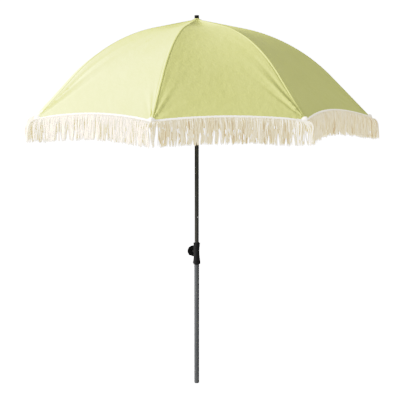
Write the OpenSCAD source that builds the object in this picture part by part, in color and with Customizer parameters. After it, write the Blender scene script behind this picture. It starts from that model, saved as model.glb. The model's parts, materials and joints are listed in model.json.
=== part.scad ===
// Beach umbrella: a two-part pole with a screw clamp, eight ribs and struts that fold on a
// sliding runner, and a scalloped cloth canopy with a hanging fringe.
// The origin is the centre of the pole's bottom end, and +Z points up the pole.
// Each rib is drawn in its own plane: X runs outwards, Y sideways and Z up.

/* [Pole] */
// Height of the open umbrella, from the foot to the top of the cap
total_h = 2200; // [2190:5:2220]
// Outer diameter of the lower pole
lower_pole_d = 32; // [31.9:0.1:32.2]
// Outer diameter of the upper pole
upper_pole_d = 28; // [27.9:0.1:28.1]
// Wall thickness of both pole tubes
tube_wall = 1.2; // [1:0.1:1.3]
// Height of the lower pole's top end
lower_pole_top = 790; // [785:1:795]
// Height of the upper pole's bottom end
upper_pole_foot = 550; // [500:5:600]

/* [Clamp] */
// Height of the clamp's lower edge
clamp_z = 734; // [732:1:736]
// Height of the clamp sleeve
clamp_h = 131; // [129:1:133]
// Diameter of the sleeve at its waist
clamp_waist_d = 36.4; // [36:0.1:38]
// Diameter of the lobed knob
knob_d = 68; // [60:1:70]
// Direction of the clamp screw around the pole, from +X
knob_az = 116; // [100:1:130]
// Height of the clamp screw
knob_z = 806; // [804:1:812]

/* [Frame] */
// Number of ribs
rib_n = 8; // [8]
// Direction of the first rib around the pole, from +X
first_rib_az = -102.5; // [-105:0.5:-100]
// Slope of a rib where it leaves the hub
rib_slope_hub = 11.8; // [10:0.1:13]
// Slope of a rib at its tip
rib_slope_tip = 45.6; // [44:0.1:47]
// Distance from the pole's axis at which a rib starts to bend
bend_from_r = 276; // [260:1:290]
// Radius of a rib's bend
bend_r = 988; // [970:2:1010]
// Length of a rib past its bend
rib_end_l = 313; // [300:1:330]
// Distance along a rib, from the hub pin to the strut's lug
lug_s = 510; // [500:1:520]
// Radius of the rib and strut rods
rod_r = 2.4; // [2.2:0.1:2.5]

/* [Canopy] */
// Thickness of the cloth solid
cloth_t = 1.2; // [1:0.1:1.3]
// Length of cloth cut away between two rib tips, at mid-panel
scallop = 50; // [30:1:60]
// How far a panel hangs inside the straight line between its ribs
panel_sag = 12; // [5:1:20]
// Length of the fringe with its tape
fringe_l = 139; // [120:1:150]
// How far the fringe swings out at a rib tip
fringe_flare = 42; // [20:1:50]

/* [Hidden] */
$fn = 64;
bead_fn = 32;
lap = 1;                                   // how far a cut runs past the face it cuts
sector = 360 / rib_n;
half_sector = sector / 2;
upper_r = upper_pole_d / 2;
lower_r = lower_pole_d / 2;
cap_h = 20;
hub_z = total_h - 32;                      // height of the hub's pins
pin_r = 24;                                // distance of the hub's and runner's pins from the axis
ring_r = 1.2;                              // radius of the wire rings that serve as pins
slot_w = 4.4;
slot_in_r = 19.8;
flange_r = 30;
hub_rivet_z = hub_z - 21;
catch_az = first_rib_az + half_sector;

// Rib ends, lugs and strut forks
eye_w = 3.6;
eye_r = 3.4;
eye_bore_r = ring_r + 0.25;
neck_h = 5;
rib_neck_l = 18;
strut_neck_l = 15;
lug_drop = 9;                              // distance of the strut's pivot below the rib
lug_t = 3;
lug_r = 4.2;
rivet_r = 1.5;
fork_gap = 3.4;
fork_cheek = 1.2;
fork_r = 4;
fork_l = 18;
tip_cap_l = 22;

// A rib's line: straight from the hub pin, round the bend, then straight to the tip
rib_start_l = (bend_from_r - pin_r) / cos(rib_slope_hub);
bend_angle = rib_slope_tip - rib_slope_hub;
bend_l = bend_r * bend_angle * PI / 180;
rib_l = rib_start_l + bend_l + rib_end_l;
bend_centre = [bend_from_r, hub_z - rib_start_l * sin(rib_slope_hub)]
    - bend_r * normal(rib_slope_hub);
bend_end = bend_centre + bend_r * normal(rib_slope_tip);

// The cloth lies over the ribs: its outer face is this far from their centre lines
cloth_over = 5;
hem_s = rib_l + 4;
cloth_hole_r = 16;
cloth_start_s = (cloth_hole_r - pin_r) / cos(rib_slope_hub);
seam_gap = 0.4;
cloth_rows = 20;
cloth_cols = 10;
fringe_t = 3;
fringe_gap = 0.5;
fringe_rise = 3;
fringe_rows = 4;
fringe_cols = 16;

// The strut pivots as far from the hub pin as the strut is long, so the runner stays on the pole
lug_pivot = rib_point(lug_s) - lug_drop * normal(rib_slope(lug_s));
strut_l = norm(lug_pivot - [pin_r, hub_z]);
runner_z = 2 * lug_pivot[1] - hub_z;
strut_rise = atan2(lug_pivot[1] - runner_z, lug_pivot[0] - pin_r);
runner_foot = runner_z - 52;

// ---- Functions of the rib's line: [distance from the axis, height] at a length along it ----

// Unit vector square to a rib that slopes down by this angle, pointing up and out
function normal(slope) = [sin(slope), cos(slope)];

// Unit vector along such a rib, pointing to its tip
function along(slope) = [cos(slope), -sin(slope)];

function rib_slope(s) =
    s < rib_start_l ? rib_slope_hub
    : s < rib_start_l + bend_l ? rib_slope_hub + (s - rib_start_l) / bend_r * 180 / PI
    : rib_slope_tip;

function rib_point(s) =
    s < rib_start_l ? [pin_r, hub_z] + s * along(rib_slope_hub)
    : s < rib_start_l + bend_l ? bend_centre + bend_r * normal(rib_slope(s))
    : bend_end + (s - rib_start_l - bend_l) * along(rib_slope_tip);

function rib_az(k) = first_rib_az + sector * (k - 1);

// ---- Functions of the cloth: w runs from -1 to 1 across a gore, and is 0 on its rib ----

// How far along from the rib (0) to mid-panel (1), on a curve that is level at mid-panel
function mid_panel(w) = 1 - (1 - abs(w)) ^ 2;

function hem_at(w) = hem_s - scallop * mid_panel(w);

// A point of the cloth in the rib's frame, this far from the rib's line.
// Between two ribs the cloth follows their chord, less the sag.
function cloth_point(s, w, off, u) =
    let (flat = rib_point(s) + off * normal(rib_slope(s)),
         turn = w * (half_sector - asin(seam_gap / 2 / flat[0])),
         r = flat[0] * cos(half_sector) / cos(half_sector - abs(turn))
             - panel_sag * sin(180 * u) * mid_panel(w))
    [r * cos(turn), r * sin(turn), flat[1]];

function cloth_face(off) = [
    for (i = [0:cloth_rows], j = [0:cloth_cols])
    let (u = i / cloth_rows,
         w = 2 * j / cloth_cols - 1)
    cloth_point(cloth_start_s + u * (hem_at(w) - cloth_start_s), w, off, u)
];

// How far the fringe's outer face swings out: most near the rib tip, half way down and below
function flare(w, v) = fringe_flare * exp(-(w / 0.2) ^ 2) * sin(90 * min(1, 1.6 * v));

// A point of the fringe: v runs from 0 at its top to 1 at its bottom
function fringe_point(w, v, out) =
    let (hem = cloth_point(hem_at(w), w, cloth_over, 1),
         r = norm([hem[0], hem[1]]) + fringe_gap + out * (fringe_t + flare(w, v)),
         turn = atan2(hem[1], hem[0]))
    [r * cos(turn), r * sin(turn), hem[2] + fringe_rise - v * fringe_l];

function fringe_face(out) = [
    for (i = [0:fringe_rows], j = [0:fringe_cols])
    fringe_point(2 * j / fringe_cols - 1, i / fringe_rows, out)
];

// ---- Shared shapes ----

// A closed solid between two grids of the same size, outer grid first
module shell(outer, inner, rows, cols) {
    wide = cols + 1;
    far = len(outer);
    last = rows * wide;
    top_faces = [for (i = [0:rows - 1], j = [0:cols - 1])
        let (a = i * wide + j) [a, a + 1, a + wide + 1, a + wide]];
    under_faces = [for (f = top_faces) [f[3] + far, f[2] + far, f[1] + far, f[0] + far]];
    end_faces = [for (j = [0:cols - 1]) each [
        [j + 1, j, j + far, j + 1 + far],
        [last + j, last + j + 1, last + j + 1 + far, last + j + far]]];
    side_faces = [for (i = [0:rows - 1]) each [
        [i * wide, (i + 1) * wide, (i + 1) * wide + far, i * wide + far],
        [(i + 1) * wide + cols, i * wide + cols, i * wide + cols + far,
            (i + 1) * wide + cols + far]]];
    triangles = [for (f = concat(top_faces, under_faces, end_faces, side_faces)) each [
        [f[0], f[1], f[2]], [f[0], f[2], f[3]]]];
    polyhedron(points = concat(outer, inner), faces = triangles);
}

module at_rib(k) rotate([0, 0, rib_az(k)]) children();

// Places its children at a point of a rib's plane, with X along this slope
module at_slope(p, slope) translate([p[0], 0, p[1]]) rotate([0, slope, 0]) children();

// Places its children on the clamp screw's axis, with Z pointing away from the pole
module on_screw() translate([0, 0, knob_z]) rotate([0, 90, knob_az]) children();

module ring_solid(outer_r, inner_r, h) {
    difference() {
        cylinder(r = outer_r, h = h);
        translate([0, 0, -lap]) cylinder(r = inner_r, h = h + 2 * lap);
    }
}

// A rod along X, from one distance to another
module rod(from, to) translate([from, 0, 0]) rotate([0, 90, 0])
    cylinder(r = rod_r, h = to - from, $fn = bead_fn);

// A pin across the rib's plane
module cross_pin(r, w) rotate([90, 0, 0]) cylinder(r = r, h = w, center = true, $fn = bead_fn);

// The flat drilled end of a rod that turns on a wire ring, with its neck along +X
module eye(neck_l) {
    difference() {
        union() {
            cross_pin(eye_r, eye_w);
            translate([0, -eye_w / 2, -neck_h / 2]) cube([neck_l, eye_w, neck_h]);
        }
        cross_pin(eye_bore_r, eye_w + 2 * lap);
    }
}

// Eight slots for eyes, cut through a flange
module eye_slots(z, h) {
    for (k = [1:rib_n]) at_rib(k)
        translate([slot_in_r, -slot_w / 2, z]) cube([flange_r, slot_w, h]);
}

module wire_ring(z) {
    translate([0, 0, z]) rotate_extrude()
        translate([pin_r, 0]) circle(r = ring_r, $fn = bead_fn);
}

// The groove that a wire ring is laid in
module ring_groove(z, h) {
    translate([0, 0, z]) ring_solid(pin_r + ring_r + 0.05, pin_r - ring_r - 0.05, h);
}

// ---- Lower pole and clamp ----

plug_flange_h = 3;
clamp_neck_z = clamp_z - 2;
neck_cut = 0.4;                            // turned off the lower pole's top, under the clamp
clamp_bore_r = lower_r - neck_cut + 0.05;

module lower_pole() {
    color("#5c5d5f") difference() {
        union() {
            translate([0, 0, plug_flange_h])
                cylinder(r = lower_r, h = clamp_neck_z - plug_flange_h);
            cylinder_from_to(lower_r - neck_cut, clamp_neck_z, lower_pole_top);
        }
        cylinder_from_to(lower_r - tube_wall, 0, lower_pole_top + lap);
    }
}

module cylinder_from_to(r, z0, z1) translate([0, 0, z0]) cylinder(r = r, h = z1 - z0);

module foot_plug() {
    chamfer = 1;
    depth = 25;
    color("#3a3b3c") {
        cylinder(r1 = lower_r - 0.5 - chamfer, r2 = lower_r - 0.5, h = chamfer);
        cylinder_from_to(lower_r - 0.5, chamfer, plug_flange_h - 0.02);
        cylinder_from_to(lower_r - tube_wall - 0.05, plug_flange_h - 0.5, depth);
    }
}

boss_r = 9.5;
boss_end = 31;
insert_r = 6;
insert_start = 20;
stud_r = 3.9;
pad_r = 5;
pad_end = 17;

// The sleeve's outline is a shallow hollow curve between a full foot and a round collar
module clamp_body() {
    steps = 16;
    foot_h = 10;
    collar_h = 5;
    hollow = 0.00124;
    waist_z = 811;
    low = clamp_z + foot_h;
    high = clamp_z + clamp_h - collar_h;
    side = [for (i = [0:steps])
        let (z = low + (high - low) * i / steps)
        [clamp_waist_d / 2 + hollow * (z - waist_z) ^ 2, z]];
    foot = side[0][0];
    collar = side[steps][0];
    color("#1b1b1c") difference() {
        union() {
            rotate_extrude() polygon(concat(
                [[upper_r, clamp_z], [foot - 4, clamp_z], [foot - 1.2, clamp_z + 3]],
                side,
                [[collar, high + collar_h - 2], [collar - 1.5, clamp_z + clamp_h],
                 [upper_r, clamp_z + clamp_h]]));
            on_screw() translate([0, 0, upper_r + 1]) cylinder(r = boss_r, h = boss_end - upper_r - 1);
        }
        cylinder_from_to(clamp_bore_r, clamp_z - lap, lower_pole_top);
        cylinder_from_to(upper_r + 0.15, lower_pole_top - lap, clamp_z + clamp_h + lap);
        on_screw() cylinder(r = pad_r + 0.1, h = insert_start);
        on_screw() translate([0, 0, insert_start]) cylinder(r = insert_r, h = boss_end);
    }
}

module clamp_insert() {
    color("#b8963e") on_screw() translate([0, 0, insert_start])
        ring_solid(insert_r - 0.02, stud_r + 0.05, boss_end - insert_start);
}

module pressure_pad() {
    color("#c9c9c6") difference() {
        on_screw() translate([0, 0, upper_r - 1.5]) cylinder(r = pad_r, h = pad_end - upper_r + 1.5);
        cylinder_from_to(upper_r + 0.03, knob_z - 2 * pad_r, knob_z + 2 * pad_r);
        on_screw() translate([0, 0, pad_end - 1.5]) cylinder(r = 2.5, h = 3);
    }
}

knob_neck_z = 34;
knob_disc_z = 49;
knob_t = 14;
stud_end = knob_disc_z + 9;

module clamp_stud() {
    color("#a5a6a8") on_screw() {
        translate([0, 0, pad_end - 1.4]) cylinder(r = 2.4, h = 3);
        translate([0, 0, pad_end + 0.1]) cylinder(r = stud_r, h = stud_end - pad_end - 0.1);
    }
}

// Eight soft lobes round a dished disc, on a neck that holds the stud
module clamp_knob() {
    lobes = 8;
    lobe_r = 9;
    bevel = 2.5;
    color("#161617") on_screw() difference() {
        union() {
            translate([0, 0, knob_neck_z]) cylinder(r = 8.5, h = knob_disc_z - knob_neck_z + lap);
            translate([0, 0, knob_disc_z]) cylinder(r = knob_d / 2 - 2, h = knob_t);
            for (i = [0:lobes - 1]) rotate([0, 0, i * 360 / lobes])
                translate([knob_d / 2 - lobe_r, 0, knob_disc_z]) {
                    translate([0, 0, bevel]) cylinder(r = lobe_r, h = knob_t - 2 * bevel, $fn = bead_fn);
                    cylinder(r1 = lobe_r - bevel, r2 = lobe_r, h = bevel, $fn = bead_fn);
                    translate([0, 0, knob_t - bevel])
                        cylinder(r1 = lobe_r, r2 = lobe_r - bevel, h = bevel, $fn = bead_fn);
                }
        }
        translate([0, 0, knob_neck_z - lap]) cylinder(r = stud_r + 0.02, h = stud_end - knob_neck_z + lap);
        translate([0, 0, knob_disc_z + knob_t - 2]) cylinder(r1 = 12, r2 = 14, h = 2 + lap);
    }
}

// ---- Upper pole ----

bush_flange_h = 20;
stop_z = 1020;
stop_az = -59;
stop_shank_r = 1.5;
hub_rivet_r = 2;
catch_w = 4;
catch_h = 14;
catch_top = runner_foot - 0.3;

module across_pole(az, z) translate([0, 0, z]) rotate([0, 90, az]) children();

module upper_pole() {
    color("#3b3b37") difference() {
        cylinder_from_to(upper_r, upper_pole_foot, total_h - cap_h);
        cylinder_from_to(upper_r - tube_wall, upper_pole_foot - lap, total_h);
        across_pole(catch_az, hub_rivet_z)
            cylinder(r = hub_rivet_r + 0.02, h = 2 * upper_r + 2 * lap, center = true);
        across_pole(stop_az, stop_z) cylinder(r = stop_shank_r + 0.02, h = upper_r + lap, $fn = bead_fn);
        rotate([0, 0, catch_az])
            translate([0, -catch_w / 2 - 0.3, catch_top - catch_h - 0.5])
                cube([upper_r + lap, catch_w + 0.6, catch_h + 1]);
    }
}

// Guide at the upper pole's foot, which runs inside the lower pole
module pole_bush() {
    color("#d8d6cf") {
        cylinder_from_to(lower_r - tube_wall - 0.1, upper_pole_foot - bush_flange_h, upper_pole_foot - 0.02);
        cylinder_from_to(upper_r - tube_wall - 0.05, upper_pole_foot - lap, upper_pole_foot + 25);
    }
}

// Round-headed rivet that stops the upper pole on the clamp
module stop_rivet() {
    head_r = 3;
    head_h = 1.4;
    color("#8f9093") across_pole(stop_az, stop_z) {
        translate([0, 0, upper_r - tube_wall - 0.5])
            cylinder(r = stop_shank_r, h = tube_wall + 1, $fn = bead_fn);
        translate([0, 0, upper_r + 0.05]) cylinder(r1 = head_r, r2 = head_r - 1, h = head_h, $fn = bead_fn);
    }
}

module top_cap() {
    head_r = upper_r + 0.75;
    round_r = 2.5;
    color("#19191a") {
        rotate_extrude() polygon(concat(
            [[0, total_h - cap_h], [head_r, total_h - cap_h]],
            [for (a = [0:15:90]) [head_r - round_r * (1 - cos(a)), total_h - round_r * (1 - sin(a))]],
            [[0, total_h]]));
        cylinder_from_to(upper_r - tube_wall - 0.05, total_h - cap_h - 20, total_h - cap_h + lap);
    }
}

// Small cloth cone that covers the cut edge of the canopy round the pole
module canopy_collar() {
    foot_z = hub_z + 5;
    top_z = total_h - cap_h - 0.3;
    color("#c3c780") rotate_extrude() polygon([
        [27, foot_z], [28, foot_z + 0.8], [15.6, top_z], [upper_r + 0.4, top_z],
        [upper_r + 0.4, top_z - 1]]);
}

// ---- Hub and runner ----

module hub() {
    crown_low = hub_z - 12;
    crown_high = hub_z + 1.6;
    tail_low = hub_z - 30;
    color("#232324") difference() {
        union() {
            cylinder_from_to(flange_r, crown_low, crown_high);
            cylinder_from_to(upper_r + 5, tail_low, crown_low + lap);
        }
        cylinder_from_to(upper_r + 0.05, tail_low - lap, crown_high + lap);
        eye_slots(crown_low - lap, crown_high - crown_low + 2 * lap);
        ring_groove(hub_z - ring_r - 0.05, crown_high);
        across_pole(catch_az, hub_rivet_z)
            cylinder(r = hub_rivet_r + 0.02, h = 3 * upper_r, center = true);
    }
}

module hub_ring() color("#a5a6a8") wire_ring(hub_z);

module hub_rivet() {
    half = upper_r + 5;
    color("#a5a6a8") across_pole(catch_az, hub_rivet_z) {
        cylinder(r = hub_rivet_r, h = 2 * half + 1, center = true);
        for (side = [-1, 1]) translate([0, 0, side * (half + 0.65)])
            cylinder(r = hub_rivet_r + 1.4, h = 1.2, center = true);
    }
}

module runner() {
    flange_h = 14;
    flange_low = runner_z - flange_h / 2;
    grip_r = upper_r + 4.5;
    color("#232324") difference() {
        union() {
            cylinder_from_to(flange_r, flange_low, flange_low + flange_h);
            cylinder_from_to(grip_r, runner_foot, flange_low + lap);
            cylinder_from_to(grip_r + 1.5, runner_foot, runner_foot + 5);
        }
        cylinder_from_to(upper_r + 0.3, runner_foot - lap, flange_low + flange_h + lap);
        eye_slots(flange_low - lap, flange_h + 2 * lap);
        ring_groove(flange_low - lap, flange_h / 2 + ring_r + 0.05 + lap);
        for (i = [0:2]) translate([0, 0, runner_foot + 12 + 9 * i])
            ring_solid(grip_r + lap, grip_r - 1, 3);
    }
}

module runner_ring() color("#a5a6a8") wire_ring(runner_z);

// Sprung catch that holds the runner up: flat on top, and sloped so that the runner rides over it
module runner_catch() {
    inner = 9;
    outer = upper_r + 4.8;
    color("#a5a6a8") rotate([0, 0, catch_az]) translate([0, catch_w / 2, catch_top])
        rotate([90, 0, 0]) linear_extrude(catch_w)
            polygon([[inner, -catch_h], [upper_r - 0.3, -catch_h], [outer, -2], [outer, 0], [inner, 0]]);
}

// ---- Ribs and struts ----

// A steel rod, bent once, with an eye for the hub and a lug for the strut
module rib(k) {
    color("#9b9c9e") at_rib(k) difference() {
        union() {
            at_slope([pin_r, hub_z], rib_slope_hub) {
                eye(rib_neck_l);
                rod(rib_neck_l - 1, rib_start_l);
            }
            translate([bend_centre[0], 0, bend_centre[1]]) rotate([90, 0, 0])
                rotate([0, 0, 90 - rib_slope_tip]) rotate_extrude(angle = bend_angle)
                    translate([bend_r, 0]) circle(r = rod_r, $fn = bead_fn);
            at_slope(bend_end, rib_slope_tip) rod(0, rib_end_l - 2);
            for (s = [rib_start_l, rib_start_l + bend_l]) at_slope(rib_point(s), rib_slope(s))
                rotate([0, 90, 0]) cylinder(r = rod_r + 0.1, h = 4, center = true, $fn = bead_fn);
            at_slope(rib_point(lug_s), rib_slope(lug_s)) {
                rotate([0, 90, 0]) cylinder(r = rod_r + 1.3, h = 16, center = true, $fn = bead_fn);
                translate([-lug_r, -lug_t / 2, -lug_drop]) cube([2 * lug_r, lug_t, lug_drop]);
                translate([0, 0, -lug_drop]) cross_pin(lug_r, lug_t);
            }
        }
        translate([lug_pivot[0], 0, lug_pivot[1]]) cross_pin(rivet_r + 0.1, lug_t + 2 * lap);
    }
}

// A plastic thimble over the rib's end, which the canopy's pocket hooks on
module tip_cap(k) {
    wall_r = rod_r + 1;
    color("#19191a") at_rib(k) at_slope(rib_point(rib_l), rib_slope_tip) difference() {
        translate([2 - tip_cap_l, 0, 0]) rotate([0, 90, 0])
            cylinder(r = wall_r, h = tip_cap_l, $fn = bead_fn);
        translate([-tip_cap_l, 0, 0]) rotate([0, 90, 0])
            cylinder(r = rod_r + 0.05, h = tip_cap_l - 1.5, $fn = bead_fn);
    }
}

// A steel rod with a fork and rivet for the rib's lug, and an eye for the runner
module strut(k) {
    fork_w = fork_gap + 2 * fork_cheek;
    color("#9b9c9e") at_rib(k) at_slope([pin_r, runner_z], -strut_rise) {
        eye(strut_neck_l);
        rod(strut_neck_l - 1, strut_l - fork_l + 1);
        difference() {
            union() {
                translate([strut_l - fork_l, -fork_w / 2, -fork_r]) cube([fork_l, fork_w, 2 * fork_r]);
                translate([strut_l, 0, 0]) cross_pin(fork_r, fork_w);
            }
            translate([strut_l - fork_l + 6, -fork_gap / 2, -fork_r - lap])
                cube([fork_l + 2 * fork_r, fork_gap, 2 * fork_r + 2 * lap]);
            translate([strut_l, 0, 0]) cross_pin(rivet_r + 0.02, fork_w + 2 * lap);
        }
        translate([strut_l, 0, 0]) {
            cross_pin(rivet_r, fork_w + 1);
            for (side = [-1, 1]) translate([0, side * (fork_w / 2 + 0.5), 0]) cross_pin(rivet_r + 1.2, 0.9);
        }
    }
}

// ---- Canopy ----

// One sector of cloth, from mid-panel to mid-panel over its rib
module gore(k) {
    color(k % 2 == 0 ? "#d3d594" : "#c9cb86") at_rib(k)
        shell(cloth_face(cloth_over), cloth_face(cloth_over - cloth_t), cloth_rows, cloth_cols);
}

// One sector of fringe, hanging straight down from the hem
module fringe(k) {
    color("#f3ead6") at_rib(k) shell(fringe_face(1), fringe_face(0), fringe_rows, fringe_cols);
}

lower_pole();
foot_plug();
clamp_body();
clamp_insert();
clamp_knob();
clamp_stud();
pressure_pad();
upper_pole();
pole_bush();
stop_rivet();
top_cap();
canopy_collar();
hub();
hub_ring();
hub_rivet();
runner();
runner_ring();
runner_catch();
for (k = [1:rib_n]) rib(k);
for (k = [1:rib_n]) tip_cap(k);
for (k = [1:rib_n]) strut(k);
for (k = [1:rib_n]) gore(k);
for (k = [1:rib_n]) fringe(k);
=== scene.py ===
"""The looks of a beach umbrella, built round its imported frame.

Metres, in the frame's own axes: +Z up the pole, the origin at the middle of its foot. A rib's
plane has X outwards, Y sideways and Z up, and is turned about Z to the rib's direction.
"""

import json
import math

import bmesh
import bpy
import numpy as np
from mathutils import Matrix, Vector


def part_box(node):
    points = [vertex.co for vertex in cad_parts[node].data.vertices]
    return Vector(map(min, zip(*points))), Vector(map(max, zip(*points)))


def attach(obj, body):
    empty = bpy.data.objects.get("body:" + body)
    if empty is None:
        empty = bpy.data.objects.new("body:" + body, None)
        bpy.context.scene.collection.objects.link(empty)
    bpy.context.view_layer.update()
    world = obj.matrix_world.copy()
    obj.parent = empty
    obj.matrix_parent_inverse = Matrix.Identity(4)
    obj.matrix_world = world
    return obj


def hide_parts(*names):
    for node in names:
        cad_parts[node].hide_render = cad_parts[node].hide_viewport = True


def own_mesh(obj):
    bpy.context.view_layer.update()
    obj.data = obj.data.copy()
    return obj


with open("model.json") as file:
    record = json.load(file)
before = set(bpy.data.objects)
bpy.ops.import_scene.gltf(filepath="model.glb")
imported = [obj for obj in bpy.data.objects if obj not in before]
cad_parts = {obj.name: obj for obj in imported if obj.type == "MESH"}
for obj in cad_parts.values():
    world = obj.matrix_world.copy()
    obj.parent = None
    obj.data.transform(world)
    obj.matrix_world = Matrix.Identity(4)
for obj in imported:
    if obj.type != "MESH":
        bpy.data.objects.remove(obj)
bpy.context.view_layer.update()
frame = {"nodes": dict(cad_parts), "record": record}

# ---- Sizes of the frame that the cloth follows ----

RIBS = range(1, 9)
SECTOR = math.radians(45.0)
HALF = SECTOR / 2
FIRST_RIB = math.radians(-102.5)
POLE_R = 0.014
hub_low, hub_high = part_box("hub_ring")
HUB_Z = (hub_low[2] + hub_high[2]) / 2
PIN_R = 0.024
SLOPE_HUB = math.radians(11.8)
SLOPE_TIP = math.radians(45.6)
BEND_FROM = 0.276
BEND_R = 0.988
END_L = 0.313
START_L = (BEND_FROM - PIN_R) / math.cos(SLOPE_HUB)
BEND_L = BEND_R * (SLOPE_TIP - SLOPE_HUB)
RIB_L = START_L + BEND_L + END_L
CLOTH_OVER = 0.005
CLOTH_T = 0.0007
HEM_S = RIB_L + 0.010
HOLE_S = (0.016 - PIN_R) / math.cos(SLOPE_HUB)
FRINGE_L = 0.130
TAPE_W = 0.0120


def rib_turn(k):
    """Direction of rib k round the pole, in radians from +X."""
    return FIRST_RIB + SECTOR * (k - 1)


def turned(points, k):
    """Points of a rib's plane, turned about the pole to rib k."""
    c, s = math.cos(rib_turn(k)), math.sin(rib_turn(k))
    spin = np.array([[c, s, 0.0], [-s, c, 0.0], [0.0, 0.0, 1.0]])
    return points @ spin


def rib_line(s):
    """Distance from the axis, height and slope of a rib at length s from the hub's pin.

    It runs straight, then round an arc, then straight again, with no corner between.
    """
    s = np.asarray(s, float)
    bend = np.clip(s - START_L, 0.0, BEND_L)
    slope = SLOPE_HUB + bend / BEND_R
    first = np.minimum(s, START_L)
    last = np.maximum(s - START_L - BEND_L, 0.0)
    r = PIN_R + first * math.cos(SLOPE_HUB) + last * math.cos(SLOPE_TIP)
    r = r + BEND_R * (np.sin(slope) - math.sin(SLOPE_HUB))
    z = HUB_Z - first * math.sin(SLOPE_HUB) - last * math.sin(SLOPE_TIP)
    z = z - BEND_R * (math.cos(SLOPE_HUB) - np.cos(slope))
    return r, z, slope


# ---- The canopy's cloth ----

# How far each panel's edge is cut up between its rib tips. Panel k runs from rib k to rib k + 1
PANEL_CUT = (0.031, 0.068, 0.050, 0.046, 0.054, 0.048, 0.050, 0.046)
SAG = 0.013
FOLDS = 9
LONG_FOLDS = {(8, 1): 0.14, (2, -1): 0.10, (3, -1): 0.085, (7, -1): 0.11, (5, 1): 0.09}


def panel_of(k, side):
    """Number of the panel on one side of rib k: side 1 is towards the next rib."""
    return (k - 1 if side > 0 else k - 2) % 8


def mid_share(c):
    """0 at a rib and 1 at mid-panel, level there: one less the square of the way still to go."""
    return 1.0 - (1.0 - np.abs(c)) ** 2


def hem_length(k, c):
    """Length along the rib at which the cloth ends, at lateral place c from -1 to 1."""
    cut = np.where(c < 0, PANEL_CUT[panel_of(k, -1)], PANEL_CUT[panel_of(k, 1)])
    return HEM_S - cut * mid_share(c)


def corner_folds(k, side):
    """Folds that run from a rib's tip into the panel on one side of it.

    Each has its angle from the rib, its width in radians, the length at which it is highest,
    and its height. Most are low, and the three nearest the rib are longer and sharper.
    """
    rng = np.random.default_rng(100 + 10 * k + (side > 0))
    long = LONG_FOLDS.get((k, side), 0.065)
    angle = np.radians(np.concatenate([[8.0, 15.0, 24.0], rng.uniform(30.0, 76.0, FOLDS - 3)]))
    width = np.radians(np.concatenate([[1.7, 2.2, 2.8], rng.uniform(2.0, 4.5, FOLDS - 3)]))
    reach = np.concatenate([[long, 0.9 * long, 0.7 * long], rng.uniform(0.025, 0.06, FOLDS - 3)])
    near = np.array([-0.075, 0.070, -0.062]) * long
    height = np.concatenate([near, rng.uniform(-0.0032, 0.0032, FOLDS - 3)])
    return zip(angle + rng.normal(0.0, 0.012, FOLDS), width, reach, height)


def fold_height(k, side, s, across):
    """Height of the corner folds at length s and distance across from rib k.

    A fold is a bell across its angle, and along it rises in step with the distance from the
    corner, then dies away.
    """
    down = HEM_S - s
    away = np.hypot(across, down) + 1e-6
    angle = np.arctan2(across, down)
    total = np.zeros_like(away)
    for centre, width, reach, height in corner_folds(k, side):
        bell = np.exp(-(((angle - centre) / width) ** 2))
        total += height * bell * (away / reach) * np.exp(1.0 - away / reach)
    return total


def seam_height(across):
    """Height of the felled seam on a rib: a flat raised band with a stitched groove each side."""
    band = 0.00055 * (1.0 - np.tanh((across - 0.0062) / 0.0008))
    groove = 0.0013 * np.exp(-(((across - 0.0088) / 0.0016) ** 2))
    middle = 0.0008 * np.exp(-((across / 0.0014) ** 2))
    return band - groove - middle


def cloth_surface(k, s, c, smooth=False, lift=0.0):
    """Points of the cloth's outer face, in rib k's plane.

    Between two ribs the cloth follows the straight chord. It then moves along its own outward
    direction: in by the sag, and in or out by the folds, the seam and the gathers at the hub.
    """
    r, z, slope = rib_line(s)
    r = r + CLOTH_OVER * np.sin(slope)
    z = z + CLOTH_OVER * np.cos(slope)
    side = np.where(c < 0, -1.0, 1.0)
    half_chord = r * math.sin(HALF)
    across = np.abs(c) * half_chord
    x = r - across * math.sin(HALF)
    y = side * across * math.cos(HALF)
    u = (s - HOLE_S) / (HEM_S - HOLE_S)
    share = mid_share(c)
    out = -SAG * np.sin(math.pi * np.clip(u, 0.0, 1.0)) ** 0.8 * share
    out = out - 0.008 * share * np.exp(-(((u - 0.13) / 0.08) ** 2))
    if not smooth:
        free = 1.0 - np.exp(-((across / 0.011) ** 2))
        folds = np.where(c < 0, fold_height(k, -1, s, across), fold_height(k, 1, s, across))
        out = out + folds * free
        gather = 0.0012 * np.cos(9.0 * c + k) * np.exp(-(((r - 0.06) / 0.04) ** 2))
        out = out + gather * free + seam_height(across) * np.clip(r / 0.12, 0.0, 1.0)
    out = out + lift
    lean = c * HALF
    x = x + out * np.sin(slope) * np.cos(lean)
    y = y + out * np.sin(slope) * np.sin(lean)
    z = z + out * np.cos(slope)
    return np.stack([x, y, z], axis=-1)


# ---- Meshes from grids ----

# Share of a gore's half-width that the seam's close-set columns take up
SEAM_SHARE = 0.036


def grid_faces(rows, cols, start=0):
    """Four-cornered faces of a grid of rows by cols points."""
    i, j = np.meshgrid(np.arange(rows - 1), np.arange(cols - 1), indexing="ij")
    a = start + i * cols + j
    return np.stack([a, a + 1, a + cols + 1, a + cols], axis=-1).reshape(-1, 4)


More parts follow.
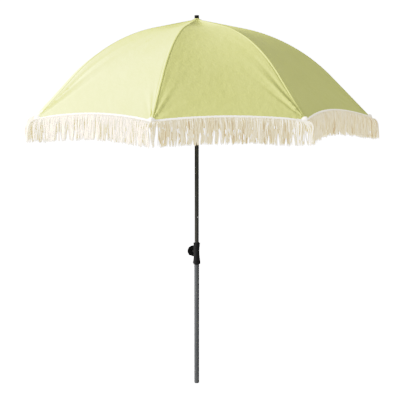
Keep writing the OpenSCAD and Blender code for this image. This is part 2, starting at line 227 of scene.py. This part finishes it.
def new_piece(name, points, faces, material, sharp=None, uv=None, tone=None):
    """A mesh object from points and faces, with its finish, slot, UV map and an attribute of random
    colour and painted shade.
    """
    mesh = bpy.data.meshes.new(name)
    mesh.from_pydata(points.reshape(-1, 3).tolist(), [], [list(f) for f in faces])
    mesh.update()
    mesh.polygons.foreach_set("use_smooth", np.ones(len(mesh.polygons), bool))
    if uv is not None:
        corner = np.empty(len(mesh.loops), np.int32)
        mesh.loops.foreach_get("vertex_index", corner)
        layer = mesh.uv_layers.new(name="cloth")
        layer.data.foreach_set("uv", uv.reshape(-1, 2)[corner].ravel())
    if tone is not None:
        shade = mesh.attributes.new("tone", "FLOAT", "POINT")
        shade.data.foreach_set("value", tone.ravel())
    piece = bpy.data.objects.new(name, mesh)
    bpy.context.collection.objects.link(piece)
    mesh.materials.append(material)
    if sharp is not None:
        sharpen(mesh, sharp)
    return piece


def sharpen(mesh, angle):
    """Splits the shading along edges that turn by more than this angle."""
    work = bmesh.new()
    work.from_mesh(mesh)
    for edge in work.edges:
        edge.smooth = len(edge.link_faces) == 2 and edge.calc_face_angle() < angle
    work.to_mesh(mesh)
    work.free()


def shell(outer, inner, rows, cols):
    """Points and faces of a closed sheet between an outer and an inner grid."""
    count = rows * cols
    faces = [grid_faces(rows, cols), grid_faces(rows, cols, count)[:, ::-1]]
    top = np.arange(cols)
    left = np.arange(rows) * cols
    for rim in (top[::-1], top + (rows - 1) * cols, left, (left + cols - 1)[::-1]):
        a, b = rim[:-1], rim[1:]
        faces.append(np.stack([b, a, a + count, b + count], axis=-1))
    points = np.concatenate([outer.reshape(-1, 3), inner.reshape(-1, 3)])
    return points, np.concatenate(faces)


def lateral_places(seam_cols, open_cols):
    """Places from -1 to 1 across a gore, close together on the seam and even past it."""
    near = SEAM_SHARE * np.arange(seam_cols) / seam_cols
    far = np.linspace(SEAM_SHARE, 1.0, open_cols)
    half = np.concatenate([near, far])
    return np.concatenate([-half[:0:-1], half])


# ---- Finishes ----


class Wire:
    """An output of a node. Sums and products of wires and numbers add Math nodes."""

    def __init__(self, finish, socket):
        self.finish = finish
        self.socket = socket

    def maths(self, operation, a, b):
        return self.finish.make("ShaderNodeMath", {"operation": operation}, {0: a, 1: b})

    def __add__(self, other):
        return self.maths("ADD", self, other)

    def __radd__(self, other):
        return self.maths("ADD", other, self)

    def __sub__(self, other):
        return self.maths("SUBTRACT", self, other)

    def __rsub__(self, other):
        return self.maths("SUBTRACT", other, self)

    def __mul__(self, other):
        return self.maths("MULTIPLY", self, other)

    def __rmul__(self, other):
        return self.maths("MULTIPLY", other, self)

    def __pow__(self, other):
        return self.maths("POWER", self, other)


class Finish:
    """A material under construction."""

    def __init__(self, name):
        self.material = bpy.data.materials.new(name)
        self.material.use_nodes = True
        self.tree = self.material.node_tree
        self.shader = self.tree.nodes["Principled BSDF"]

    def make(self, kind, settings=None, inputs=None, out=0):
        """A new node: its settings first, then the values or wires of its inputs."""
        node = self.tree.nodes.new(kind)
        for key, value in (settings or {}).items():
            if key == "stops":
                self.set_stops(node.color_ramp, value)
            else:
                setattr(node, key, value)
        for key, value in (inputs or {}).items():
            self.feed(node.inputs[key], value)
        return Wire(self, node.outputs[out])

    def set_stops(self, ramp, stops):
        while len(ramp.elements) < len(stops):
            ramp.elements.new(0.5)
        for element, (place, colour) in zip(ramp.elements, stops):
            element.position = place
            element.color = (*colour, 1.0)

    def feed(self, socket, value):
        if isinstance(value, Wire):
            self.tree.links.new(value.socket, socket)
        else:
            socket.default_value = value

    def set(self, **inputs):
        """Sets the shader's own inputs: underscores in a name stand for spaces."""
        for key, value in inputs.items():
            self.feed(self.shader.inputs[key.replace("_", " ")], value)
        return self

    def place(self, scale=(1.0, 1.0, 1.0), uv=None, turn=0.0):
        """Object coordinates, or a UV map, stretched and turned."""
        if uv:
            source = self.make("ShaderNodeUVMap", {"uv_map": uv})
        else:
            source = self.make("ShaderNodeTexCoord", {}, {}, "Object")
        inputs = {"Vector": source, "Scale": scale, "Rotation": (0.0, 0.0, turn)}
        return self.make("ShaderNodeMapping", {}, inputs)

    def noise(self, place, scale, detail=3.0, rough=0.55):
        inputs = {"Vector": place, "Scale": scale, "Detail": detail, "Roughness": rough}
        return self.make("ShaderNodeTexNoise", {}, inputs, "Fac")

    def ramp(self, amount, *stops):
        return self.make("ShaderNodeValToRGB", {"stops": stops}, {"Fac": amount})

    def mix(self, amount, a, b, blend="MIX"):
        settings = {"data_type": "RGBA", "blend_type": blend}
        a = a if isinstance(a, Wire) else (*a, 1.0)
        b = b if isinstance(b, Wire) else (*b, 1.0)
        return self.make("ShaderNodeMix", settings, {0: amount, 6: a, 7: b}, 2)

    def bump(self, height, distance, strength=1.0):
        inputs = {"Height": height, "Distance": distance, "Strength": strength}
        return self.make("ShaderNodeBump", {}, inputs, "Normal")

    def let_through(self, share, colour):
        """Lets this share of the light through, as thin cloth does."""
        glow = self.make("ShaderNodeBsdfTranslucent", {}, {"Color": (*colour, 1.0)})
        surface = Wire(self, self.shader.outputs[0])
        both = self.make("ShaderNodeMixShader", {}, {0: share, 1: surface, 2: glow})
        output = self.tree.nodes["Material Output"]
        self.tree.links.new(both.socket, output.inputs["Surface"])
        return self


CLOTH = (0.500, 0.515, 0.190)
CREAM = (0.880, 0.810, 0.660)


def canopy_cloth():
    """Plain-weave cotton: warp and weft slubs, faint blotches, and crinkles."""
    f = Finish("canopy_cloth")
    warp = f.noise(f.place((900.0, 60.0, 1.0), uv="cloth"), 1.0, 2.0)
    weft = f.noise(f.place((60.0, 900.0, 1.0), uv="cloth"), 1.0, 2.0)
    blotch = f.noise(f.place((5.0, 5.0, 5.0)), 1.0, 4.0)
    weave = (warp + weft) * 0.5
    base = f.ramp(blotch, (0.3, (0.485, 0.490, 0.155)), (0.7, (0.525, 0.528, 0.180)))
    colour = f.mix(0.35, base, f.ramp(weave, (0.3, (0.43, 0.44, 0.13)), (0.7, (0.585, 0.585, 0.215))))
    crinkle = f.noise(f.place((26.0, 20.0, 26.0)), 1.0, 5.0, 0.6)
    f.set(Base_Color=colour, Roughness=0.8, Specular_IOR_Level=0.25)
    f.set(Normal=f.bump(crinkle * 0.0045 + weave * 0.0001, 1.0, 0.6))
    return f.let_through(0.18, CLOTH).material


def edge_tape():
    """White woven tape with a rib along it and faint stains."""
    f = Finish("edge_tape")
    rib = f.noise(f.place((1400.0, 90.0, 1.0), uv="cloth"), 1.0, 2.0)
    stain = f.noise(f.place((9.0, 9.0, 9.0)), 1.0, 3.0)
    colour = f.ramp(stain, (0.35, (0.93, 0.855, 0.72)), (0.65, (0.96, 0.90, 0.79)))
    f.set(Base_Color=colour, Roughness=0.85, Specular_IOR_Level=0.2)
    f.set(Normal=f.bump(rib, 0.0001, 0.7))
    # Painted light: the tape glows faintly, though it is no lamp.
    f.set(Emission_Color=colour, Emission_Strength=0.08)
    return f.let_through(0.12, CREAM).material


def fringe_yarn():
    """Soft cotton yarn: each has its own colour at random, the inner layer's darker as painted shade,
    and its plies twist round it.

    Its faint glow stands for the light that scatters among loose yarns.
    """
    f = Finish("fringe_yarn")
    tone = f.make("ShaderNodeAttribute", {"attribute_name": "tone"}, {}, "Fac")
    ply = f.make(
        "ShaderNodeTexWave", {"wave_type": "BANDS", "bands_direction": "X"},
        {"Vector": f.place((3.0, 240.0, 1.0), uv="cloth", turn=0.6), "Scale": 1.0,
         "Distortion": 1.5, "Detail": 2.0}, "Fac")
    # The inner layer's yarns sit low on this ramp: painted shade behind the outer layer.
    colour = f.ramp(tone, (0.0, (0.50, 0.37, 0.19)), (0.35, (0.86, 0.75, 0.54)),
                    (1.0, (0.97, 0.90, 0.74)))
    colour = f.mix(0.2, colour, f.ramp(ply, (0.0, (0.72, 0.61, 0.42)), (1.0, (0.95, 0.90, 0.78))))
    f.set(Base_Color=colour, Roughness=0.9, Specular_IOR_Level=0.2)
    f.set(Normal=f.bump(ply, 0.0003, 0.6))
    f.set(Emission_Color=colour, Emission_Strength=0.16)
    return f.let_through(0.36, CREAM).material


def powder_coat(name, dark, light, rough):
    """Fine orange-peel coating, a little worn and dusty, with a slight gloss."""
    f = Finish(name)
    peel = f.noise(f.place((700.0, 700.0, 700.0)), 1.0, 2.0)
    dust = f.noise(f.place((22.0, 22.0, 6.0)), 1.0, 4.0)
    f.set(Base_Color=f.ramp(dust, (0.3, dark), (0.75, light)))
    f.set(Roughness=dust * 0.15 + rough, Normal=f.bump(peel, 0.00003, 0.15))
    f.set(Specular_IOR_Level=0.08)
    return f.material


def moulded(name, dark, light, rough=0.55):
    """Moulded plastic with a fine spark-eroded grain and faint handling marks."""
    f = Finish(name)
    grain = f.noise(f.place((1500.0, 1500.0, 1500.0)), 1.0, 2.0)
    mark = f.noise(f.place((60.0, 60.0, 60.0)), 1.0, 5.0, 0.65)
    f.set(Base_Color=f.ramp(mark, (0.35, dark), (0.8, light)))
    f.set(Roughness=mark * 0.2 + rough, Normal=f.bump(grain, 0.00002, 0.3))
    f.set(Specular_IOR_Level=0.04)
    return f.material


def metal(name, dark, light, rough):
    """Drawn or plated metal: fine streaks along the part and dull patches."""
    f = Finish(name)
    streak = f.noise(f.place((900.0, 900.0, 40.0)), 1.0, 3.0)
    dull = f.noise(f.place((45.0, 45.0, 45.0)), 1.0, 4.0)
    f.set(Base_Color=f.ramp(dull, (0.3, dark), (0.7, light)), Metallic=1.0)
    f.set(Roughness=streak * 0.15 + dull * 0.15 + rough, Normal=f.bump(streak, 0.00001, 0.3))
    return f.material


FINISHES = {
    "lower_tube": powder_coat("lower_tube", (0.034, 0.036, 0.038), (0.044, 0.046, 0.048), 0.6),
    "upper_tube": powder_coat("upper_tube", (0.012, 0.012, 0.010), (0.020, 0.020, 0.017), 0.48),
    "black_plastic": moulded("black_plastic", (0.003, 0.003, 0.003), (0.007, 0.007, 0.007)),
    "hub_nylon": moulded("hub_nylon", (0.008, 0.008, 0.009), (0.018, 0.018, 0.019)),
    "pale_nylon": moulded("pale_nylon", (0.60, 0.58, 0.52), (0.68, 0.66, 0.60)),
    "brass": metal("brass", (0.48, 0.33, 0.11), (0.62, 0.46, 0.18), 0.25),
    "zinc_steel": metal("zinc_steel", (0.38, 0.39, 0.40), (0.55, 0.56, 0.57), 0.28),
    "rib_steel": metal("rib_steel", (0.30, 0.31, 0.32), (0.45, 0.46, 0.47), 0.32),
    "canopy_cloth": canopy_cloth(),
    "fringe_yarn": fringe_yarn(),
    "edge_tape": edge_tape(),
}


def paint_frame():
    """Gives every CAD part the finish of its own material slot."""
    for part in frame["record"]["subparts"]:
        node = frame["nodes"][part["node"]]
        node.data.materials.clear()
        node.data.materials.append(FINISHES[part["material_slot"]])


# ---- Pieces of the canopy ----

ROWS = 84
SEAM_COLS = 10
OPEN_COLS = 44


def rib_squash(piece):
    """Gives a piece of cloth a mesh of its own."""
    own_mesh(piece)


def surface_area(grid):
    """Area of a grid of points, as two triangles to a face."""
    a, b = grid[:-1, :-1], grid[:-1, 1:]
    c, d = grid[1:, 1:], grid[1:, :-1]
    first = np.linalg.norm(np.cross(b - a, c - a), axis=-1)
    second = np.linalg.norm(np.cross(c - a, d - a), axis=-1)
    return float((first + second).sum() / 2)


def make_gore(k):
    """One gore of cloth on rib k, from mid-panel to mid-panel."""
    c = lateral_places(SEAM_COLS, OPEN_COLS)[None, :]
    u = np.linspace(0.0, 1.0, ROWS)[:, None] ** 1.05
    s = HOLE_S + u * (hem_length(k, c) - HOLE_S)
    c = np.broadcast_to(c, s.shape)
    outer = cloth_surface(k, s, c)
    inner = cloth_surface(k, s, c, lift=-CLOTH_T)
    across = c * rib_line(s)[0] * math.sin(HALF)
    uv = np.stack([across, s], axis=-1)
    points, faces = shell(outer, inner, *s.shape)
    gore = new_piece(
        f"canopy_gore_{k}", turned(points, k), faces, FINISHES["canopy_cloth"],
        sharp=0.9, uv=np.concatenate([uv.reshape(-1, 2)] * 2))
    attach(gore, f"rib_arm_{k}")
    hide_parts(f"gore_{k}")
    rib_squash(gore)
    return gore, surface_area(cloth_surface(k, s, c, smooth=True))


def make_tape(k):
    """The white tape on the gore's edge, which rises in a hump over the rib's pocket."""
    half = np.concatenate([np.linspace(0.0, 0.12, 16)[:-1], np.linspace(0.12, 1.0, 40)])
    c = np.concatenate([-half[:0:-1], half])[None, :]
    v = np.linspace(0.0, 1.0, 9)[:, None]
    hem = hem_length(k, c)
    across = np.abs(c) * rib_line(hem)[0] * math.sin(HALF)
    hump = np.exp(-((across / 0.0165) ** 4))
    ripple = 0.0007 * np.sin(across * 310.0 + 2.0 * k) + 0.0005 * np.sin(across * 173.0 + k)
    top = hem - TAPE_W - 0.014 * hump + ripple
    s = top + (hem + 0.0022 - top) * v
    c = np.broadcast_to(c, s.shape)
    puff = 0.009 * hump * np.sin(math.pi * np.clip(v * 1.1, 0.0, 1.0)) ** 0.5
    edge = 0.0009 * np.sin(math.pi * v) ** 0.3
    outer = cloth_surface(k, s, c, lift=edge + puff + 0.0005)
    inner = cloth_surface(k, s, c, lift=0.0002)
    points, faces = shell(outer, inner, *s.shape)
    uv = np.stack([np.broadcast_to(np.sign(c) * across, s.shape), s], axis=-1)
    tape = new_piece(
        f"edge_tape_{k}", turned(points, k), faces, FINISHES["edge_tape"],
        sharp=0.9, uv=np.concatenate([uv.reshape(-1, 2)] * 2))
    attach(tape, f"rib_arm_{k}")
    rib_squash(tape)
    return tape


# ---- The fringe ----

# How far the yarns swing out at each rib's tip
TIP_SPLAY = (0.044, 0.046, 0.036, 0.040, 0.045, 0.040, 0.050, 0.052)
YARN_R = 0.0027
YARN_GAP = 0.0043
YARN_SIDES = 5
YARN_STATIONS = 11


def clumps(rng, count):
    """Numbers the yarns by clump, a few yarns to each."""
    sizes = rng.integers(2, 7, count)
    return np.repeat(np.arange(count), sizes)[:count]


def yarn_lines(k, side, layer, rng):
    """Middle lines of one layer of yarns on half a gore, with their radii and their random colour
    values, darker on the inner layer as painted shade.

    A yarn hangs from the edge. Towards its end it closes in on its clump, leans with it, and
    wanders a little on its own. Near the rib's tip it swings out.
    """
    half_chord = rib_line(HEM_S)[0] * math.sin(HALF)
    count = int(half_chord / YARN_GAP)
    c = side * (np.arange(count) + 0.25 + 0.5 * layer) / count
    hem = hem_length(k, c)
    root = cloth_surface(k, hem - 0.002, c, smooth=True, lift=0.0012)
    clump = clumps(rng, count)
    away = np.abs(c) * half_chord
    middle = np.array([away[clump == n].mean() for n in range(clump.max() + 1)])[clump]
    pull = rng.uniform(0.1, 0.75, clump.max() + 1)[clump]
    near_tip = np.exp(-((away / 0.045) ** 2))
    lean = rng.normal(0.0, 0.0045, clump.max() + 1)[clump] * (1.0 + 2.6 * near_tip)
    swing = rng.normal(0.0, 0.0040, clump.max() + 1)[clump]
    length = FRINGE_L * (1.0 + rng.normal(0.0, 0.018, clump.max() + 1)[clump])
    length = length + rng.normal(0.0, 0.0022, count)
    v = np.linspace(0.0, 1.0, YARN_STATIONS)[:, None]
    ease = v * v * (3.0 - 2.0 * v)
    sideways = (middle - away) * pull * ease + lean * v
    wave = rng.uniform(0.0, 2 * math.pi, (2, count))
    rate = rng.uniform(0.7, 1.7, (2, count)) * 2 * math.pi
    size = rng.uniform(0.0008, 0.0030, (2, count))
    sideways = sideways + size[0] * (np.sin(rate[0] * v + wave[0]) - np.sin(wave[0]))
    forward = swing * v + size[1] * (np.sin(rate[1] * v + wave[1]) - np.sin(wave[1]))
    forward = forward + (0.0022 if layer else -0.0014)
    splay = 0.012 + rng.uniform(0.45, 1.1, count) * TIP_SPLAY[k - 1] * near_tip
    forward = forward + splay * (1.0 - np.exp(-v / 0.17)) * (1.0 - 0.12 * v)
    along = np.array([-math.sin(HALF), side * math.cos(HALF), 0.0])
    outward = np.array([math.cos(HALF), side * math.sin(HALF), 0.0])
    tip_out = np.array([1.0, 0.0, 0.0])
    mixed = near_tip[:, None] * tip_out + (1.0 - near_tip[:, None]) * outward
    lines = root[None] + sideways[..., None] * along + forward[..., None] * mixed[None]
    lines[..., 2] -= length * (v - 0.10 * near_tip * (1.0 - np.exp(-v / 0.2)))
    radius = YARN_R * rng.uniform(0.8, 1.2, count)
    # The inner layer's yarns are 0.34 darker: painted shade behind the outer layer.
    tone = np.clip(rng.normal(0.72, 0.26, count) - (0.0 if layer else 0.34), 0.0, 1.0)
    return lines, radius, tone, along, mixed


def tubes(lines, radius, along, outward):
    """Closed tubes along lines (stations by yarns): each station is a ring across the yarn.

    A ring is the yarn's radius times the cosine along the edge and the sine outwards. The
    yarn narrows at its root and rounds off at its end.
    """
    stations, count = lines.shape[:2]
    v = np.linspace(0.0, 1.0, stations)
    shape = 1.0 - 0.45 * np.exp(-v / 0.03) - 0.55 * np.exp(-(1.0 - v) / 0.012)
    turn = 2 * math.pi * np.arange(YARN_SIDES) / YARN_SIDES
    ring = np.cos(turn)[:, None] * along + np.sin(turn)[:, None] * outward[:, None, :]
    size = radius[None, :] * shape[:, None]
    points = lines[:, :, None, :] + size[..., None, None] * ring[None]
    points = points.transpose(1, 0, 2, 3)
    i, j = np.meshgrid(np.arange(stations - 1), np.arange(YARN_SIDES), indexing="ij")
    a = i * YARN_SIDES + j
    b = i * YARN_SIDES + (j + 1) % YARN_SIDES
    one = np.stack([a, b, b + YARN_SIDES, a + YARN_SIDES], axis=-1).reshape(-1, 4)
    start = np.arange(count) * stations * YARN_SIDES
    walls = (start[:, None, None] + one).reshape(-1, 4)
    lid = np.arange(YARN_SIDES)
    foot = lid[::-1] + (stations - 1) * YARN_SIDES
    lids = np.concatenate([start[:, None] + lid[::-1], start[:, None] + foot[::-1]])
    around = np.broadcast_to(np.arange(YARN_SIDES) / YARN_SIDES, (count, stations, YARN_SIDES))
    down = np.broadcast_to(v[None, :, None] * FRINGE_L, around.shape)
    return points.reshape(-1, 3), walls, lids, np.stack([around, down], axis=-1)


def make_fringe(k, side):
    """The fringe of half a gore, hung from the rib's own hanging body."""
    rng = np.random.default_rng(900 + 2 * k + (side > 0))
    points, faces, uvs, tones_and_shades, start = [], [], [], [], 0
    for layer in (0, 1):
        lines, radius, tone, along, outward = yarn_lines(k, side, layer, rng)
        p, walls, lids, uv = tubes(lines, radius, along, outward)
        if side < 0:
            walls, lids = walls[:, ::-1], lids[:, ::-1]
        faces += (walls + start).tolist() + (lids + start).tolist()
        start += len(p)
        points.append(p)
        uvs.append(uv.reshape(-1, 2))
        tones_and_shades.append(np.repeat(tone, YARN_SIDES * YARN_STATIONS))
    name = f"fringe_{k}_{'next' if side > 0 else 'last'}"
    fringe = new_piece(
        name, turned(np.concatenate(points), k), faces, FINISHES["fringe_yarn"],
        uv=np.concatenate(uvs), tone=np.concatenate(tones_and_shades))
    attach(fringe, f"hanging_{k}")
    ends = np.array([0.0, side * 0.8])
    tip, far = turned(cloth_surface(k, hem_length(k, ends), ends, smooth=True), k)
    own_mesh(fringe)
    return fringe


def make_canopy():
    """Every gore with its tape and fringe."""
    for k in RIBS:
        gore, area = make_gore(k)
        tape = make_tape(k)
        fringes = [make_fringe(k, side) for side in (-1, 1)]
        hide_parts(f"fringe_{k}")
        width = 2 * rib_line(HEM_S)[0] * math.sin(HALF)


COLLAR_R = 0.0285
COLLAR_T = 0.0011


def make_collar():
    """The small cloth cone round the pole, gathered into the cap."""
    turn = np.linspace(0.0, 2 * math.pi, 97)[None, :-1]
    v = np.linspace(0.0, 1.0, 12)[:, None]
    low, top = (corner[2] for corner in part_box("canopy_collar"))
    gather = 0.0007 * np.sin(11.0 * turn + 1.2 * np.sin(3.0 * turn)) * (1.0 - v) ** 0.5
    r = COLLAR_R + (POLE_R + 0.0014 - COLLAR_R) * v ** 0.85 + gather
    z = low + 0.0008 + (top - low - 0.0008) * v + 0.0006 * np.cos(8.0 * turn + 1.0) * (1.0 - v)
    face = np.stack([r * np.cos(turn), r * np.sin(turn), z + 0.0 * turn], axis=-1)
    inner = face - np.array([0.0, 0.0, COLLAR_T])
    rows, cols = face.shape[:2]
    around = np.concatenate([np.arange(cols), [0]])
    points, faces = shell(face[:, around], inner[:, around], rows, cols + 1)
    collar = new_piece("apex_collar", points, faces, FINISHES["canopy_cloth"],
                       sharp=0.9)
    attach(collar, "upper")
    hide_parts("canopy_collar")


# ---- Stage ----


SHOWN_WHITE = 2.4
ROLL_OFF = ((0.45, 0.45), (0.76, 0.66), (1.15, 0.79), (1.7, 0.875), (SHOWN_WHITE, 1.0))


def white_floor():
    """Pale matt floor, the same plain white to the lens as the surroundings, clear from below."""
    f = Finish("white_floor")
    f.set(Base_Color=(0.8, 0.8, 0.8, 1.0), Roughness=0.95)
    seen = f.make("ShaderNodeLightPath")
    bright = f.make("ShaderNodeEmission", {}, {"Strength": SHOWN_WHITE * 1.1})
    surface = Wire(f, f.shader.outputs[0])
    both = f.make("ShaderNodeMixShader", {}, {0: seen, 1: surface, 2: bright})
    under = f.make("ShaderNodeNewGeometry", {}, {}, "Backfacing")
    clear = f.make("ShaderNodeBsdfTransparent")
    whole = f.make("ShaderNodeMixShader", {}, {0: under, 1: both, 2: clear})
    f.tree.links.new(whole.socket, f.tree.nodes["Material Output"].inputs["Surface"])
    return f.material


def make_surroundings(strength):
    """White all round: even soft light on the object, and plain white behind it."""
    world = bpy.data.worlds.new("studio")
    bpy.context.scene.world = world
    world.use_nodes = True
    tree = world.node_tree
    even = tree.nodes["Background"]
    even.inputs["Color"].default_value = (1.0, 1.0, 1.0, 1.0)
    even.inputs["Strength"].default_value = strength
    behind = tree.nodes.new("ShaderNodeBackground")
    behind.inputs["Strength"].default_value = SHOWN_WHITE * 1.1
    seen = tree.nodes.new("ShaderNodeLightPath")
    both = tree.nodes.new("ShaderNodeMixShader")
    behind.inputs["Color"].default_value = (1.0, 1.0, 1.0, 1.0)
    tree.links.new(seen.outputs["Is Camera Ray"], both.inputs[0])
    tree.links.new(even.outputs[0], both.inputs[1])
    tree.links.new(behind.outputs[0], both.inputs[2])
    tree.links.new(both.outputs[0], tree.nodes["World Output"].inputs["Surface"])


def roll_off_highlights():
    """Eases bright tones towards white, as film does, in place of a hard clip."""
    view = bpy.context.scene.view_settings
    view.view_transform = "Standard"
    view.use_curve_mapping = True
    curves = view.curve_mapping
    curves.white_level = (SHOWN_WHITE,) * 3
    points = curves.curves[3].points
    points[1].location = (1.0, 1.0)
    for light, shown in ROLL_OFF[:-1]:
        points.new(light / SHOWN_WHITE, shown)
    curves.update()


def make_stage():
    """White floor and surroundings, a large soft key on the left and a camera."""
    make_surroundings(1.0)
    points = np.array([[-40, -40, 0], [40, -40, 0], [40, 40, 0], [-40, 40, 0]], float)
    mesh = bpy.data.meshes.new("floor")
    mesh.from_pydata(points.tolist(), [], [(0, 1, 2, 3)])
    floor = bpy.data.objects.new("floor", mesh)
    bpy.context.collection.objects.link(floor)
    mesh.materials.append(white_floor())
    lamp = bpy.data.lights.new("key", "AREA")
    lamp.shape = "DISK"
    lamp.size = 2.4
    lamp.energy = 1400.0
    key = bpy.data.objects.new("key", lamp)
    bpy.context.collection.objects.link(key)
    aim(key, (-5.5, -1.3, 3.6), (0.0, 0.0, 1.8))
    camera = bpy.data.cameras.new("camera")
    camera.lens = 79.2
    camera.sensor_width = 36.0
    camera.shift_x = 0.0083
    eye = bpy.data.objects.new("camera", camera)
    bpy.context.collection.objects.link(eye)
    eye.location = (0.0, -5.19, 1.745)
    eye.rotation_euler = (math.pi / 2 - 0.1197, 0.0, 0.0)
    bpy.context.scene.camera = eye
    roll_off_highlights()


def aim(thing, place, target):
    """Puts a lamp at a place and points it at a target."""
    way = np.array(target) - np.array(place)
    flat = math.hypot(way[0], way[1])
    thing.location = place
    thing.rotation_euler = (math.atan2(flat, -way[2]), 0.0, math.atan2(-way[0], way[1]))


make_stage()
paint_frame()
make_canopy()
make_collar()
